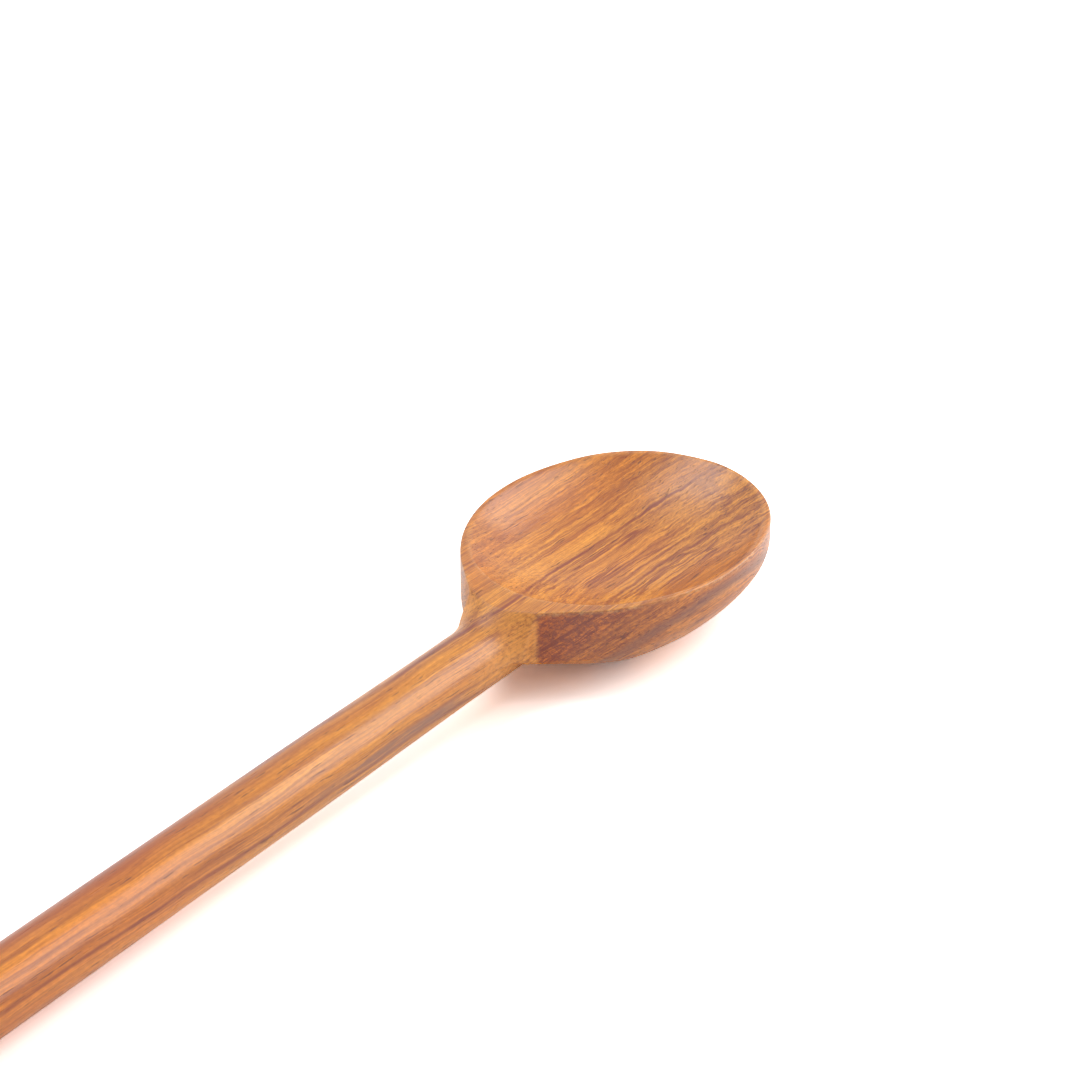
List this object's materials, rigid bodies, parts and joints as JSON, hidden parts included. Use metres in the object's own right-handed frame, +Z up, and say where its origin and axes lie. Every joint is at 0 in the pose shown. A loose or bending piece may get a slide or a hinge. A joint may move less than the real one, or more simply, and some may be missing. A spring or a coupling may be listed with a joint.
{
  "type": "wooden cooking spoon",
  "caption": "Wooden cooking spoon with an oval hollowed head, a flat narrow rim, a coved neck and a long straight round handle, for stirring and serving food",
  "frame": {"origin": "centre of the box around the spoon, at its bottom, where the spoon rests on a table", "axes": "X along the spoon towards the tip of the bowl, Z up out of the hollow, Y across the spoon"},
  "size_m": [0.3, 0.055, 0.0194],
  "materials": {
    "wood": "satin"
  },
  "bodies": {
    "root": {"bowl": "wood", "handle": "wood"}
  },
  "joints": []
}
